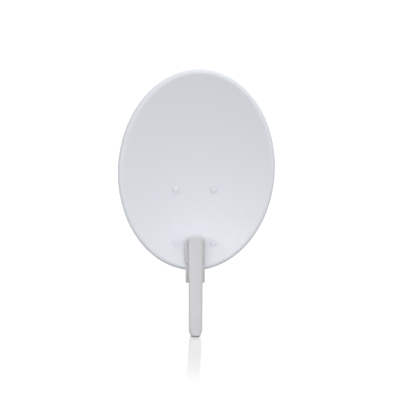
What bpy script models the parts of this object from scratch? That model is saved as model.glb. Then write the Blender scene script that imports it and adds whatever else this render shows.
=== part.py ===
"""Offset dish antenna: oval reflector, feed arm in its cradle, and the brackets that hold it on a mast.

Metres, +Z up. The dish looks along -Y. The origin is on the rear face of the mast bracket, where the
mast stands against it. Each sub-part is built in the frame of what carries it: the rim plane, the arm
or the tilt bracket, each of which is an empty turned about X.
"""

import math

import bmesh
import bpy
import numpy as np
from mathutils import Matrix, Vector

MM = 0.001
GAP = 0.3 * MM

# Reflector
RIM_LEAN = 0.0
RIM_HALF_WIDTH = 200 * MM
RIM_HALF_HEIGHT = 256.5 * MM
LIP_WIDTH = 12.5 * MM
LIP_LAND = 3 * MM
LIP_RISE = 0.3 * MM
LIP_ROUND = 9.5 * MM
LIP_SKIRT = 1.5 * MM
SHEET = 1.5 * MM
BOWL_DEPTH = 40 * MM
BOWL_TURN = 30.0
AROUND = 60
BOWL_RINGS = 7
ROUND_STEPS = 3

# Where the four bolts go through the reflector, from the rim's centre
BOLT_HALF_SPACING = 49 * MM
BOLT_ROWS = (-51.5 * MM, -186.5 * MM)
HEAD_RADIUS = 8.25 * MM
HEAD_HEIGHT = 1.1 * MM
SHANK_RADIUS = 3 * MM
HOLE_RADIUS = 3.4 * MM
SPACER_RADIUS = 7 * MM

# Tilt bracket, from its plate's centre
PLATE_LEAN = 7.5
PLATE_STAND_OFF = 10.5 * MM
PLATE_SIZE = (124 * MM, 162 * MM)
PLATE = 2.5 * MM
EAR_X = 13 * MM
EAR = 3 * MM
EAR_REACH = 58 * MM
EAR_HALF_HEIGHT = 62 * MM
PIVOT = (-26 * MM, -40 * MM)
LOCK = (30 * MM, -40 * MM)

# Mast bracket
WEB = (84 * MM, 116 * MM, 3 * MM)
FLANGE_REACH = 56 * MM
FLANGE_HALF_HEIGHT = 50 * MM
PLATE_TO_MAST = 76 * MM
CROSS_BOLT_RADIUS = 4 * MM

# U-bolts for a 50 mm mast
MAST_RADIUS = 25 * MM
ROD_RADIUS = 4 * MM
U_BOLT_Z = 38 * MM
U_BOLT_TAIL = 20 * MM

# Feed arm, in its own frame: Y along it, Z to its front
ARM_TO_RIM = 9.3
CREASE_GAP = 1.0 * MM
ARM_WIDTH_TOP = 37 * MM
ARM_WIDTH_LOW = 34.6 * MM
ARM_WIDTH_TIP = 33.6 * MM
ARM_DEPTH = 20 * MM
ARM_TOP = 75.5 * MM
ARM_TIP = -175.5 * MM
ARM_SQUARENESS = 4.0
ARM_AROUND = 28
TOP_ROUND = (6 * MM, 8 * MM)
TIP_ROUND = (6.2 * MM, 15 * MM)
END_EDGE = 1.5 * MM
PARTING = -2 * MM
TOP_CAP = 16 * MM
TIP_CAP = 24 * MM

# Cradle
CRADLE_WIDTH = 50.8 * MM
CRADLE_DRAFT = 2 * MM
CRADLE_TOP = 67.5 * MM
CRADLE_LOW = -42 * MM
CRADLE_WEB = 3 * MM
CRADLE_WALL_TOP = -6.5 * MM
RELIEF = 2.3 * MM
RELIEFS = ((43.5 * MM, 57 * MM), (-38.5 * MM, -18.5 * MM))
RELIEF_FLOOR = -8.2 * MM
NOTCH = (-257.4 * MM, -239.5 * MM)
NOTCH_FRONT = (-246.5 * MM, -234.5 * MM)
NOTCH_STEP = 3 * MM
HOOK = (-42 * MM, -15.5 * MM)
HOOK_DEPTH = 12 * MM
HOOK_HALF_WIDTH = 14 * MM
SADDLE_HALF_WIDTH = 15 * MM
SADDLE_LOW = 6.5 * MM
CRADLE_SCREWS = (31.5 * MM, 10 * MM)
SCREW_RADIUS = 2.5 * MM
SCREW_HEAD_RADIUS = 4.6 * MM
LOCK_SCREW_Y = -29.5 * MM


def clear_scene():
    for thing in list(bpy.data.objects):
        bpy.data.objects.remove(thing, do_unlink=True)


def linear(channel):
    if channel <= 0.04045:
        return channel / 12.92
    return ((channel + 0.055) / 1.055) ** 2.4


def material(name, colour, roughness, metallic=0.0):
    """A Principled material from an sRGB hex colour."""
    made = bpy.data.materials.new(name)
    made.use_nodes = True
    shader = made.node_tree.nodes["Principled BSDF"]
    rgb = [linear(int(colour[i : i + 2], 16) / 255) for i in (0, 2, 4)]
    shader.inputs["Base Color"].default_value = (*rgb, 1.0)
    shader.inputs["Roughness"].default_value = roughness
    shader.inputs["Metallic"].default_value = metallic
    made.diffuse_color = (*rgb, 1.0)
    return made


def empty(name, place, lean, parent=None):
    """An empty whose Y axis leans back from the vertical by lean degrees, with Z to the front."""
    frame = bpy.data.objects.new(name, None)
    bpy.context.collection.objects.link(frame)
    frame.parent = parent
    frame.location = place
    frame.rotation_euler.x = math.radians(90 - lean)
    return frame


def add_mesh(name, points, faces, finish, parent=None, smooth=30):
    """An object from points and faces, shaded smooth where faces meet under smooth degrees."""
    mesh = bpy.data.meshes.new(name)
    mesh.from_pydata([tuple(map(float, p)) for p in points], [], faces)
    shape = bmesh.new()
    shape.from_mesh(mesh)
    bmesh.ops.recalc_face_normals(shape, faces=shape.faces)
    shape.to_mesh(mesh)
    shape.free()
    mesh.shade_smooth()
    mesh.set_sharp_from_angle(angle=math.radians(smooth))
    mesh.materials.append(finish)
    thing = bpy.data.objects.new(name, mesh)
    bpy.context.collection.objects.link(thing)
    thing.parent = parent
    return thing


def prism(name, outline, low, high, axes, finish, parent=None):
    """An outline extruded from low to high. axes orders (first, second, extrusion), such as "YZX"."""
    order = ["XYZ".index(axis) for axis in axes]
    count = len(outline)
    points = np.zeros((2 * count, 3))
    for level, start in ((low, 0), (high, count)):
        points[start : start + count, order[0]] = [p[0] for p in outline]
        points[start : start + count, order[1]] = [p[1] for p in outline]
        points[start : start + count, order[2]] = level
    faces = [tuple(range(count)), tuple(range(count, 2 * count))]
    faces += [(i, (i + 1) % count, count + (i + 1) % count, count + i) for i in range(count)]
    return add_mesh(name, points, faces, finish, parent)


def rounded(width, height, radius, centre=(0, 0), steps=4):
    """The outline of a rectangle with round corners."""
    outline = []
    for quarter, (sx, sy) in enumerate(((1, 1), (-1, 1), (-1, -1), (1, -1))):
        middle = (centre[0] + sx * (width / 2 - radius), centre[1] + sy * (height / 2 - radius))
        for step in range(steps + 1):
            angle = math.pi / 2 * (quarter + step / steps)
            outline.append(
                (middle[0] + radius * math.cos(angle), middle[1] + radius * math.sin(angle))
            )
    return outline


def turned(name, profile, finish, parent, place, along="Z", sides=18, flats=()):
    """A profile of (radius, height) points turned about an axis through place.

    A profile that starts and ends on the axis makes a solid, any other makes a ring. Points whose
    numbers are in flats follow a hexagon of that inner radius.
    """
    angles = 2 * math.pi * np.arange(sides) / sides
    to_flat = (angles + math.pi / 6) % (math.pi / 3) - math.pi / 6
    points, rows = [], []
    for number, (radius, height) in enumerate(profile):
        if radius == 0:
            rows.append([len(points)] * sides)
            points.append((0, 0, height))
            continue
        reach = radius / np.cos(to_flat) if number in flats else np.full(sides, radius)
        rows.append(list(range(len(points), len(points) + sides)))
        points += list(zip(reach * np.cos(angles), reach * np.sin(angles), [height] * sides))
    pairs = list(zip(rows, rows[1:]))
    if profile[0][0] > 0:
        pairs.append((rows[-1], rows[0]))
    faces = []
    for low, high in pairs:
        for i in range(sides):
            j = (i + 1) % sides
            corners = list(dict.fromkeys((low[i], low[j], high[j], high[i])))
            faces.append(tuple(corners))
    thing = add_mesh(name, points, faces, finish, parent)
    turn = {"Z": Matrix(), "X": Matrix.Rotation(math.pi / 2, 4, "Y")}
    turn["-Z"] = Matrix.Rotation(math.pi, 4, "X")
    turn["-X"] = Matrix.Rotation(-math.pi / 2, 4, "Y")
    turn["Y"] = Matrix.Rotation(-math.pi / 2, 4, "X")
    turn["-Y"] = Matrix.Rotation(math.pi / 2, 4, "X")
    thing.matrix_local = Matrix.Translation(place) @ turn[along]
    return thing


def cut(thing, cutter, operation="DIFFERENCE"):
    """A Boolean with a helper that doesn't render."""
    cutter.hide_render = True
    cutter.display_type = "WIRE"
    change = thing.modifiers.new(cutter.name, "BOOLEAN")
    change.operation = operation
    change.solver = "EXACT"
    change.object = cutter
    return thing


def hole(name, radius, low, high, finish, parent, place, along="Z", sides=16):
    """A round cutter between two heights on an axis."""
    profile = [(0, low), (radius, low), (radius, high), (0, high)]
    return turned(name, profile, finish, parent, place, along, sides)


def nut(name, across, height, bore, finish, parent, place, along):
    """A flange nut: a round flange under a hexagon, with a bore right through."""
    flange = across * 0.66
    profile = [
        (bore, 0),
        (flange, 0),
        (flange, 1.2 * MM),
        (across / 2, 2 * MM),
        (across / 2, height - 0.6 * MM),
        (across / 2 - 0.8 * MM, height),
        (bore, height),
    ]
    return turned(name, profile, finish, parent, place, along, 12, flats=(3, 4))


def washer(name, radius, bore, thick, finish, parent, place, along):
    profile = [(bore, 0), (radius, 0), (radius, thick), (bore, thick)]
    return turned(name, profile, finish, parent, place, along, 16)


def on_bowl(x, height):
    """The bowl's front surface at a place seen square to the rim plane, by fixed-point steps.

    A rim-plane point P goes back by depth * (1 - rho^2) along the boresight, which is turned up
    from the rim's normal, so the point that is seen at a height came from a little above it.
    """
    half_width = RIM_HALF_WIDTH - LIP_WIDTH
    half_height = RIM_HALF_HEIGHT - LIP_WIDTH
    turn = math.radians(BOWL_TURN)
    start = height
    for _ in range(30):
        share = 1 - (x / half_width) ** 2 - (start / half_height) ** 2
        start = height + BOWL_DEPTH * share * math.sin(turn)
    return -BOWL_DEPTH * share * math.cos(turn)


def rim_profile():
    """(outward, forward) steps of the rolled lip, from the crease to the end of its skirt."""
    steps = [(LIP_LAND / 2, LIP_RISE * 0.75), (LIP_LAND, LIP_RISE)]
    for step in range(1, ROUND_STEPS + 1):
        angle = math.pi / 2 * step / ROUND_STEPS
        steps.append(
            (LIP_LAND + LIP_ROUND * math.sin(angle), LIP_RISE - LIP_ROUND * (1 - math.cos(angle)))
        )
    steps.append((LIP_WIDTH, LIP_RISE - LIP_ROUND - LIP_SKIRT))
    return steps


def reflector_rings():
    """Rings of front points from the bowl's middle out over the lip, and their normals."""
    angles = 2 * math.pi * np.arange(AROUND) / AROUND
    half_width = RIM_HALF_WIDTH - LIP_WIDTH
    half_height = RIM_HALF_HEIGHT - LIP_WIDTH
    turn = math.radians(BOWL_TURN)
    rings = []
    for ring in range(1, BOWL_RINGS + 1):
        rho = ring / BOWL_RINGS
        back = BOWL_DEPTH * (1 - rho**2)
        x = half_width * rho * np.cos(angles)
        y = half_height * rho * np.sin(angles) - back * math.sin(turn)
        rings.append(np.stack([x, y, np.full(AROUND, -back * math.cos(turn))], 1))
    for out, forward in rim_profile():
        x = (half_width + out) * np.cos(angles)
        y = (half_height + out) * np.sin(angles)
        rings.append(np.stack([x, y, np.full(AROUND, forward)], 1))
    return np.array(rings)


def reflector(finish, rim):
    """The pressed shell: front rings, the same rings moved back by the sheet, and its edge."""
    front = reflector_rings()
    along = np.gradient(front, axis=0)
    round_it = np.roll(front, -1, axis=1) - np.roll(front, 1, axis=1)
    normals = np.cross(along, round_it)
    normals /= np.linalg.norm(normals, axis=2, keepdims=True)
    rear = front - SHEET * normals
    turn = math.radians(BOWL_TURN)
    middle = np.array([0, -BOWL_DEPTH * math.sin(turn), -BOWL_DEPTH * math.cos(turn)])
    behind = middle - (0, 0, SHEET)
    points = np.concatenate([[middle], front.reshape(-1, 3), [behind], rear.reshape(-1, 3)])
    count = len(front)
    rear_start = 1 + count * AROUND
    faces = []
    for i in range(AROUND):
        j = (i + 1) % AROUND
        for start in (0, rear_start):
            faces.append((start, start + 1 + i, start + 1 + j))
            for ring in range(count - 1):
                low = start + 1 + ring * AROUND
                faces.append((low + i, low + AROUND + i, low + AROUND + j, low + j))
        edge = 1 + (count - 1) * AROUND
        faces.append((edge + i, rear_start + edge + i, rear_start + edge + j, edge + j))
    return add_mesh("reflector", points, faces, finish, rim, smooth=18)


def bolt_places():
    """Name, x and height of each bolt through the reflector."""
    for row, height in zip(("upper", "lower"), BOLT_ROWS):
        for side, sign in (("left", -1), ("right", 1)):
            yield f"{row}_{side}", sign * BOLT_HALF_SPACING, height


def plate_frame(rim):
    """The tilt bracket's frame: centred between the bolts, behind the bulge of the bowl."""
    upper, lower = BOLT_ROWS
    back = (on_bowl(BOLT_HALF_SPACING, upper) + on_bowl(BOLT_HALF_SPACING, lower)) / 2
    middle = Vector((0, (upper + lower) / 2, back - SHEET - PLATE_STAND_OFF))
    frame = empty("tilt_bracket_frame", middle, 0, rim)
    frame.rotation_euler.x = math.radians(RIM_LEAN - PLATE_LEAN)
    return frame


def rim_frame():
    """The rim's frame, placed so that the plate's middle lies level with the origin."""
    lean = math.radians(RIM_LEAN)
    upper, lower = BOLT_ROWS
    back = (on_bowl(BOLT_HALF_SPACING, upper) + on_bowl(BOLT_HALF_SPACING, lower)) / 2
    up = (upper + lower) / 2
    forward = back - SHEET - PLATE_STAND_OFF
    height = -(up * math.cos(lean) + forward * math.sin(lean))
    depth = -PLATE_TO_MAST - (up * math.sin(lean) - forward * math.cos(lean))
    return empty("rim_frame", (0, depth, height), RIM_LEAN)


def arm_frame(rim):
    """The arm's frame: its Y axis runs up along the arm, and the crease lies under its origin."""
    turn = math.radians(ARM_TO_RIM)
    out = CRADLE_WEB + GAP + ARM_DEPTH / 2
    crease = RIM_HALF_HEIGHT - LIP_WIDTH
    place = Vector((0, -crease + out * math.sin(turn), CREASE_GAP + out * math.cos(turn)))
    frame = empty("arm_frame", place, 0, rim)
    frame.rotation_euler.x = -turn
    return frame


def bowl_in_plate(plate, x, height, radius=0.0, angle=0.0):
    """A point of the bowl's front surface, near a place in the rim's frame, in the plate's frame."""
    beside = x + radius * math.cos(angle)
    above = height + radius * math.sin(angle)
    return plate.matrix_local.inverted() @ Vector((beside, above, on_bowl(beside, above)))


def seat_heights(plate, x, height, radius):
    """Lowest and highest the bowl's front surface stands on a circle round a bolt."""
    around = [2 * math.pi * step / 16 for step in range(16)]
    heights = [bowl_in_plate(plate, x, height, radius, angle).z for angle in around]
    return min(heights), max(heights)


def bolts(shell, plate, finish, fixings, plastic):
    """Each carriage bolt with its spacer and nut, square to the plate, and the holes they need."""
    for name, x, height in bolt_places():
        place = Vector((x, bowl_in_plate(plate, x, height).y, 0))
        under = seat_heights(plate, x, height, HEAD_RADIUS)[1] + GAP
        tail = -PLATE - 9 * MM
        head = [
            (0, tail),
            (SHANK_RADIUS - 0.5 * MM, tail),
            (SHANK_RADIUS, tail + 0.5 * MM),
            (SHANK_RADIUS, under),
            (HEAD_RADIUS, under),
            (HEAD_RADIUS, under + 0.5 * MM),
            (HEAD_RADIUS * 0.86, under + HEAD_HEIGHT * 0.62),
            (HEAD_RADIUS * 0.55, under + HEAD_HEIGHT * 0.9),
            (0, under + HEAD_HEIGHT),
        ]
        turned(f"carriage_bolt_{name}", head, finish, plate, place)
        rear = seat_heights(plate, x, height, SPACER_RADIUS)[0] - SHEET * 1.03 - GAP
        spacer = [
            (HOLE_RADIUS, GAP),
            (SPACER_RADIUS + 2 * MM, GAP),
            (SPACER_RADIUS, rear),
            (HOLE_RADIUS, rear),
        ]
        turned(f"spacer_{name}", spacer, plastic, plate, place)
        under_plate = place + Vector((0, 0, -PLATE - GAP))
        nut(f"bolt_nut_{name}", 10 * MM, 6 * MM, HOLE_RADIUS, fixings, plate, under_plate, "-Z")
        through = (-20 * MM, 60 * MM)
        cut(shell, hole(f"bolt_hole_{name}", HOLE_RADIUS, *through, fixings, plate, place))


def tilt_bracket(plate, finish):
    """Plate with two ears that reach back, drilled for the bolts, the pivot and the lock slot."""
    body = prism("tilt_bracket", rounded(*PLATE_SIZE, 8 * MM), -PLATE, 0, "XYZ", finish, plate)
    top = EAR_HALF_HEIGHT
    ear = [
        (top, -PLATE / 2),
        (-top, -PLATE / 2),
        (-top + 8 * MM, -EAR_REACH + 14 * MM),
        (-top + 20 * MM, -EAR_REACH),
        (top - 20 * MM, -EAR_REACH),
        (top - 8 * MM, -EAR_REACH + 14 * MM),
    ]
    for sign in (-1, 1):
        low, high = sorted((sign * EAR_X, sign * (EAR_X + EAR)))
        name = "left" if sign < 0 else "right"
        cut(body, prism(f"ear_{name}", ear, low, high, "YZX", finish, plate), "UNION")
    for name, x, height in bolt_places():
        place = (x, bowl_in_plate(plate, x, height).y, 0)
        cut(body, hole(f"plate_hole_{name}", HOLE_RADIUS, -9 * MM, 9 * MM, finish, plate, place))
    across = 40 * MM
    radius = CROSS_BOLT_RADIUS + GAP
    cut(body, hole("pivot_hole", radius, -across, across, finish, plate, (0, *PIVOT), "X"))
    reach = math.dist(PIVOT, LOCK)
    start = math.atan2(LOCK[1] - PIVOT[1], LOCK[0] - PIVOT[0])
    sweep = [start + math.radians(14) * t for t in np.linspace(-1, 1, 7)]
    slot = []
    for side, angles in ((reach + radius, sweep), (reach - radius, reversed(sweep))):
        slot += [(PIVOT[0] + side * math.cos(a), PIVOT[1] + side * math.sin(a)) for a in angles]
    cut(body, prism("tilt_slot", slot, -across, across, "YZX", finish, plate))
    return body


def mast_bracket(plate, finish):
    """Web that stands against the mast, with two flanges outside the tilt bracket's ears."""
    width, height, thick = WEB
    body = prism("mast_bracket", rounded(width, height, 8 * MM), -thick, 0, "XZY", finish)
    tip = -FLANGE_REACH
    tall = FLANGE_HALF_HEIGHT
    flange = [
        (-thick / 2, tall),
        (-thick / 2, -tall),
        (tip + 12 * MM, -tall + 2 * MM),
        (tip, -tall + 14 * MM),
        (tip, tall - 14 * MM),
        (tip + 12 * MM, tall - 2 * MM),
    ]
    inner = EAR_X + EAR + GAP
    for sign in (-1, 1):
        low, high = sorted((sign * inner, sign * (inner + thick)))
        name = "left" if sign < 0 else "right"
        cut(body, prism(f"flange_{name}", flange, low, high, "YZX", finish), "UNION")
        for row in (-1, 1):
            place = (sign * (MAST_RADIUS + ROD_RADIUS + 0.5 * MM), 0, row * U_BOLT_Z)
            room = ROD_RADIUS + GAP
            cut(body, hole(f"rod_{name}_{row}", room, -9 * MM, 9 * MM, finish, None, place, "Y"))
    for name, spot in (("pivot", PIVOT), ("lock", LOCK)):
        at = plate.matrix_world @ Vector((0, *spot))
        radius = CROSS_BOLT_RADIUS + GAP
        cut(body, hole(f"{name}_flange_hole", radius, -40 * MM, 40 * MM, finish, None, at, "X"))
    return body


def cross_bolts(plate, finish):
    """The pivot bolt and the lock bolt, each through both flanges and both ears."""
    outside = EAR_X + EAR + GAP + WEB[2] + GAP
    bore = CROSS_BOLT_RADIUS + GAP
    for name, spot in (("pivot", PIVOT), ("lock", LOCK)):
        at = plate.matrix_world @ Vector((0, *spot))
        face = outside + 1.6 * MM + GAP
        head = 5.3 * MM
        profile = [
            (0, -face - head),
            (5.8 * MM, -face - head),
            (6.5 * MM, -face - head + 0.7 * MM),
            (6.5 * MM, -face),
            (CROSS_BOLT_RADIUS, -face),
            (CROSS_BOLT_RADIUS, face + 11 * MM),
            (CROSS_BOLT_RADIUS - 0.7 * MM, face + 12 * MM),
            (0, face + 12 * MM),
        ]
        turned(f"{name}_bolt", profile, finish, None, at, "X", 12, flats=(2, 3))
        for side, sign in (("left", -1), ("right", 1)):
            place = at + Vector((sign * outside, 0, 0))
            along = "X" if sign > 0 else "-X"
            washer(f"{name}_washer_{side}", 8.5 * MM, bore, 1.6 * MM, finish, None, place, along)
        place = at + Vector((face + GAP, 0, 0))
        nut(f"{name}_nut", 13 * MM, 8 * MM, bore, finish, None, place, "X")


def u_bolts(finish):
    """Two bent rods round the mast, each a half turn between straight legs, with their nuts."""
    reach = MAST_RADIUS + ROD_RADIUS + 0.5 * MM
    for name, height in (("upper", U_BOLT_Z), ("lower", -U_BOLT_Z)):
        arc = [math.pi * step / 16 for step in range(17)]
        route = [(reach, -U_BOLT_TAIL)]
        route += [(reach * math.cos(a), MAST_RADIUS + reach * math.sin(a)) for a in arc]
        route.append((-reach, -U_BOLT_TAIL))
        line = bpy.data.curves.new(f"u_bolt_{name}", "CURVE")
        line.dimensions = "3D"
        spline = line.splines.new("POLY")
        spline.points.add(len(route) - 1)
        for point, (x, y) in zip(spline.points, route):
            point.co = (x, y, height, 1)
        spline.use_smooth = True
        line.bevel_depth = ROD_RADIUS
        line.bevel_resolution = 3
        line.use_fill_caps = True
        line.materials.append(finish)
        bpy.context.collection.objects.link(bpy.data.objects.new(f"u_bolt_{name}", line))
        for side, sign in (("left", -1), ("right", 1)):
            place = (sign * reach, -WEB[2] - GAP, height)
            bore = ROD_RADIUS + GAP
            nut(f"u_bolt_nut_{name}_{side}", 13 * MM, 8 * MM, bore, finish, None, place, "-Y")


def arm_half_width(y):
    """Half the arm's width: wide in the cradle, then a slow taper to the tip."""
    shoulder = np.clip((y - CRADLE_LOW) / (12 * MM), 0, 1)
    taper = np.clip((CRADLE_LOW - y) / (CRADLE_LOW - ARM_TIP), 0, 1)
    low = ARM_WIDTH_LOW + (ARM_WIDTH_TIP - ARM_WIDTH_LOW) * taper
    return (low + (ARM_WIDTH_TOP - low) * shoulder) / 2


def end_inset(y):
    """How far the section draws in near either end, across and in depth.

    Across it is a blunt nose, to the power 1.5. In depth it is a small quarter round.
    """
    across = deep = 0.0
    for end, (wide, long) in ((ARM_TOP, TOP_ROUND), (ARM_TIP, TIP_ROUND)):
        across += wide * max(1 - abs(end - y) / long, 0) ** 1.5
        short = max(1 - abs(end - y) / END_EDGE, 0)
        deep += END_EDGE * (1 - math.sqrt(1 - short**2))
    return across, deep


def arm_stations():
    """Places along the arm: close together at its rounded ends and at the shoulder."""
    top = [ARM_TOP - TOP_ROUND[1] * t for t in (0, 0.06, 0.2, 0.45, 0.72, 1)]
    middle = [CRADLE_LOW + 12 * MM, CRADLE_LOW, -90 * MM, -130 * MM]
    tip = [ARM_TIP + TIP_ROUND[1] * t for t in (1, 0.72, 0.45, 0.2, 0.06, 0)]
    return top + middle + tip


def arm_section(half_width, half_depth):
    """(x, z) points of a superellipse, |x/a|^n + |z/b|^n = 1."""
    outline = []
    for step in range(ARM_AROUND):
        angle = 2 * math.pi * (step + 0.5) / ARM_AROUND
        across, deep = math.cos(angle), math.sin(angle)
        power = 2 / ARM_SQUARENESS
        outline.append(
            (
                math.copysign(abs(across) ** power, across) * half_width,
                math.copysign(abs(deep) ** power, deep) * half_depth,
            )
        )
    return outline


def arm_body(name, finish, arm):
    """The arm's outer shape: superellipse sections along Y, closed by flat ends."""
    stations = arm_stations()
    points = []
    for y in stations:
        across, deep = end_inset(y)
        section = arm_section(arm_half_width(y) - across, ARM_DEPTH / 2 - deep)
        points += [(x, y, z) for x, z in section]
    count = len(stations)
    last = (count - 1) * ARM_AROUND
    faces = [tuple(range(ARM_AROUND)), tuple(range(last, last + ARM_AROUND))]
    for row in range(count - 1):
        for i in range(ARM_AROUND):
            j = (i + 1) % ARM_AROUND
            low = row * ARM_AROUND
            faces.append((low + i, low + j, low + ARM_AROUND + j, low + ARM_AROUND + i))
    return add_mesh(name, points, faces, finish, arm, smooth=35)


def block(name, low, high, finish, parent):
    """A box between two corners."""
    outline = [(low[0], low[1]), (high[0], low[1]), (high[0], high[1]), (low[0], high[1])]
    return prism(name, outline, low[2], high[2], "XYZ", finish, parent)


def feed_arm(arm, shell, cover):
    """Front and rear shells, two end caps, and what sits in the rear shell."""
    far = 60 * MM
    cap_line = ARM_TOP - TOP_CAP
    tip_line = ARM_TIP + TIP_CAP
    front = arm_body("arm_front_shell", shell, arm)
    rear = arm_body("arm_rear_shell", shell, arm)
    top = arm_body("arm_top_cap", shell, arm)
    tip = arm_body("arm_tip_cap", shell, arm)
    half = GAP / 2
    kept = (
        (front, (tip_line + half, cap_line - half), (PARTING + half, far)),
        (rear, (tip_line + half, cap_line - half), (-far, PARTING - half)),
        (top, (cap_line + half, ARM_TOP + far), (-far, far)),
        (tip, (ARM_TIP - far, tip_line - half), (-far, far)),
    )
    for piece, (low_y, high_y), (low_z, high_z) in kept:
        keep = block(f"{piece.name}_keep", (-far, low_y, low_z), (far, high_y, high_z), shell, arm)
        cut(piece, keep, "INTERSECT")
    back = -ARM_DEPTH / 2
    pieces = (
        ("feed_window", 22 * MM, 34 * MM, 6 * MM, -128 * MM, 1.2 * MM),
        ("cable_door", 20 * MM, 40 * MM, 4 * MM, -78 * MM, 0.8 * MM),
    )
    for name, wide, long, corner, y, proud in pieces:
        pocket = rounded(wide + 2 * GAP, long + 2 * GAP, corner + GAP, (0, y))
        cutter = prism(f"{name}_pocket", pocket, back - 5 * MM, back + 3 * MM, "XYZ", shell, arm)
        cut(rear, cutter)
        plug = rounded(wide, long, corner, (0, y))
        prism(name, plug, back - proud, back + 3 * MM - GAP, "XYZ", cover, arm)


def bowl_under_arm(arm, y, sheet=0.0):
    """Height in the arm's frame of the bowl's front surface, or of one moved back by sheet, at y."""
    turn = math.radians(ARM_TO_RIM)
    z = -ARM_DEPTH / 2
    for _ in range(20):
        up = arm.location.y + y * math.cos(turn) + z * math.sin(turn)
        forward = arm.location.z - y * math.sin(turn) + z * math.cos(turn)
        z += (on_bowl(0, up) - sheet - forward) / math.cos(turn)
    return z


def cradle(rim, arm, finish):
    """U-shaped holder: a web under the arm, a saddle on the bowl and a wall at each side.

    The walls are open where the rim passes, and a little higher in front of it.
    """
    half = CRADLE_WIDTH / 2
    foot = half - CRADLE_DRAFT
    bottom = -ARM_DEPTH / 2 - GAP - CRADLE_WEB
    ends = [(-foot, bottom), (foot, bottom), (half, CRADLE_WALL_TOP), (-half, CRADLE_WALL_TOP)]
    body = prism("feed_cradle", ends, CRADLE_LOW, CRADLE_TOP, "XZY", finish, arm)
    bevel = body.modifiers.new("soft_edges", "BEVEL")
    bevel.width = 1.5 * MM
    bevel.segments = 2
    bevel.limit_method = "ANGLE"
    low = (-HOOK_HALF_WIDTH, HOOK[0], bottom - HOOK_DEPTH)
    hook = block("hook", low, (HOOK_HALF_WIDTH, HOOK[1], bottom + 2 * MM), finish, arm)
    cut(body, hook, "UNION")
    stations = np.linspace(SADDLE_LOW, CRADLE_TOP - 2 * MM, 7)
    saddle = [(y, bowl_under_arm(arm, y) + CREASE_GAP) for y in stations]
    saddle += [(stations[-1], bottom + 1 * MM), (stations[0], bottom + 1 * MM)]
    reach = SADDLE_HALF_WIDTH
    cut(body, prism("saddle", saddle, -reach, reach, "YZX", finish, arm), "UNION")
    channel = arm_section(ARM_WIDTH_TOP / 2 + GAP, ARM_DEPTH / 2 + GAP)
    cut(body, prism("channel", channel, -90 * MM, 90 * MM, "XZY", finish, arm))
    inner = ARM_WIDTH_TOP / 2
    for number, (low, high) in enumerate(RELIEFS):
        for side, sign in (("left", -1), ("right", 1)):
            x = sorted((sign * (inner - 1 * MM), sign * (inner + RELIEF)))
            start = (x[0], low, RELIEF_FLOOR)
            cut(body, block(f"relief_{side}_{number}", start, (x[1], high, 9 * MM), finish, arm))
    for side, sign in (("left", -1), ("right", 1)):
        x = sorted((sign * (inner + 0.2 * MM), sign * CRADLE_WIDTH))
        start, end = (x[0], NOTCH[0], -60 * MM), (x[1], NOTCH[1], NOTCH_STEP)
        cut(body, block(f"notch_{side}", start, end, finish, rim))
        start, end = (x[0], NOTCH_FRONT[0], NOTCH_STEP - 0.1 * MM), (x[1], NOTCH_FRONT[1], 60 * MM)
        cut(body, block(f"front_notch_{side}", start, end, finish, rim))
    return body


def cradle_screws(shell, body, arm, fixings):
    """Countersunk screws through the cradle and the reflector, and the screw that locks the arm."""
    seat = -ARM_DEPTH / 2 - GAP
    for name, y in zip(("upper", "lower"), CRADLE_SCREWS):
        place = (0, y, 0)
        around = (bowl_under_arm(arm, y + reach, SHEET) for reach in (-5.5 * MM, 5.5 * MM))
        face = min(around) - GAP
        tail = face - 8 * MM
        taper = SCREW_HEAD_RADIUS - SCREW_RADIUS
        head = seat - GAP
        screw = [
            (0, tail),
            (SCREW_RADIUS, tail),
            (SCREW_RADIUS, head - taper),
            (SCREW_HEAD_RADIUS, head),
            (0, head),
        ]
        turned(f"cradle_screw_{name}", screw, fixings, arm, place)
        room = SCREW_RADIUS + GAP
        sink = [
            (0, tail - 9 * MM),
            (room, tail - 9 * MM),
            (room, head - taper - GAP / 2),
            (SCREW_HEAD_RADIUS + GAP, head),
            (SCREW_HEAD_RADIUS + GAP, head + 4 * MM),
            (0, head + 4 * MM),
        ]
        cut(body, turned(f"web_hole_{name}", sink, fixings, arm, place))
        cut(shell, hole(f"shell_hole_{name}", room, tail - 9 * MM, seat, fixings, arm, place))
        nut(f"cradle_nut_{name}", 8 * MM, 5 * MM, room, fixings, arm, (0, y, face), "-Z")
    bottom = seat - CRADLE_WEB - HOOK_DEPTH
    place = (0, LOCK_SCREW_Y, 0)
    radius = 3 * MM
    screw = [
        (0, bottom - GAP - 4 * MM),
        (4.3 * MM, bottom - GAP - 4 * MM),
        (5 * MM, bottom - GAP - 3.3 * MM),
        (5 * MM, bottom - GAP),
        (radius, bottom - GAP),
        (radius, seat - GAP),
        (0, seat - GAP),
    ]
    turned("arm_lock_screw", screw, fixings, arm, place, "Z", 12, flats=(2, 3))
    through = (bottom - 9 * MM, seat + 4 * MM)
    cut(body, hole("lock_screw_hole", radius + GAP, *through, fixings, arm, place))


def main():
    clear_scene()
    painted = material("white_painted_steel", "d6d9dd", 0.42)
    asa = material("grey_moulded_plastic", "cbcbcd", 0.5)
    dark = material("window_plastic", "b9babd", 0.45)
    zinc = material("zinc_plated_steel", "aeb1b4", 0.35, 0.9)
    galvanised = material("powder_coated_steel", "c9cbce", 0.5)
    nylon = material("nylon", "8f9194", 0.6)
    rim = rim_frame()
    plate = plate_frame(rim)
    arm = arm_frame(rim)
    bpy.context.view_layer.update()
    shell = reflector(painted, rim)
    bolts(shell, plate, painted, zinc, nylon)
    tilt_bracket(plate, galvanised)
    mast_bracket(plate, galvanised)
    cross_bolts(plate, zinc)
    u_bolts(zinc)
    feed_arm(arm, asa, dark)
    holder = cradle(rim, arm, asa)
    cradle_screws(shell, holder, arm, zinc)


main()
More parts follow.
